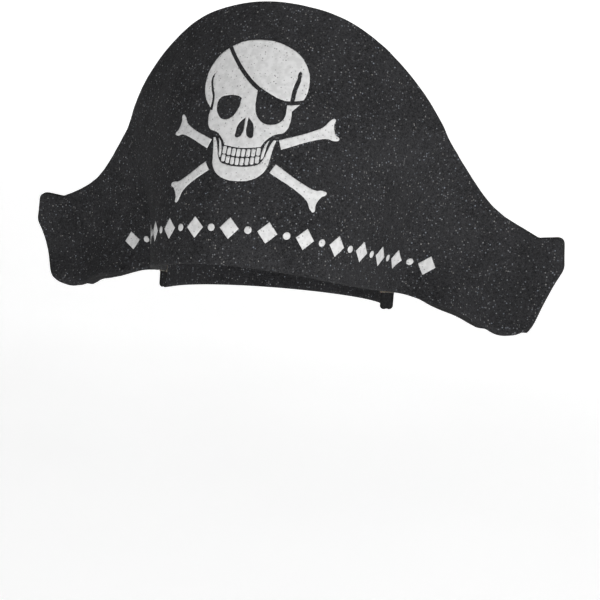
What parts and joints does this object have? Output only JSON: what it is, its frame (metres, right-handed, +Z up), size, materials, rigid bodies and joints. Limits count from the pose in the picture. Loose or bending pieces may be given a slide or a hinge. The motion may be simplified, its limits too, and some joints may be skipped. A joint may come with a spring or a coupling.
{
  "type": "foam pirate hat",
  "caption": "Die-cut foam pirate hat: tall curved front panel with swept wings, printed skull and crossed bones, plain border print and a foam strap behind the head.",
  "frame": {"origin": "centre of the head opening, level with the rim at the temples", "axes": "the face of the hat looks along -Y, the wearer's left is +X, up is +Z"},
  "size_m": [0.4638, 0.214, 0.2397],
  "materials": {
    "foam": "matte open-cell foam sheet, near black with fine sparkle",
    "strap_foam": "matte open-cell foam sheet, near black",
    "ink": "white screen-printed ink, matte, with small pores",
    "glue": "clear amber contact adhesive"
  },
  "bodies": {
    "root": {"front_panel": "foam", "back_strap": "strap_foam", "right_glue_pad": "glue", "left_glue_pad": "glue", "print_skull_crown": "ink", "print_skull_face": "ink", "print_jaw": "ink", "print_gum_left": "ink", "print_gum_right": "ink", "print_tooth_upper_1": "ink", "print_tooth_upper_2": "ink", "print_tooth_upper_3": "ink", "print_tooth_upper_4": "ink", "print_tooth_upper_5": "ink", "print_tooth_upper_6": "ink", "print_tooth_upper_7": "ink", "print_tooth_upper_8": "ink", "print_tooth_lower_1": "ink", "print_tooth_lower_2": "ink", "print_tooth_lower_3": "ink", "print_tooth_lower_4": "ink", "print_tooth_lower_5": "ink", "print_tooth_lower_6": "ink", "print_tooth_lower_7": "ink", "print_tooth_lower_8": "ink", "print_bone_upper_right": "ink", "print_bone_upper_left": "ink", "print_bone_lower_right": "ink", "print_bone_lower_left": "ink", "print_diamond_01": "ink", "print_diamond_02": "ink", "print_diamond_03": "ink", "print_diamond_04": "ink", "print_diamond_05": "ink", "print_diamond_06": "ink", "print_diamond_07": "ink", "print_diamond_08": "ink", "print_diamond_09": "ink", "print_diamond_10": "ink", "print_diamond_11": "ink", "print_diamond_12": "ink", "print_diamond_13": "ink", "print_diamond_14": "ink", "print_diamond_15": "ink", "print_dot_01": "ink", "print_dot_02": "ink", "print_dot_03": "ink", "print_dot_04": "ink", "print_dot_05": "ink", "print_dot_06": "ink", "print_dot_07": "ink", "print_dot_08": "ink", "print_dot_09": "ink", "print_dot_10": "ink", "print_dot_11": "ink", "print_dot_12": "ink", "print_dot_13": "ink", "print_dot_14": "ink"}
  },
  "joints": []
}
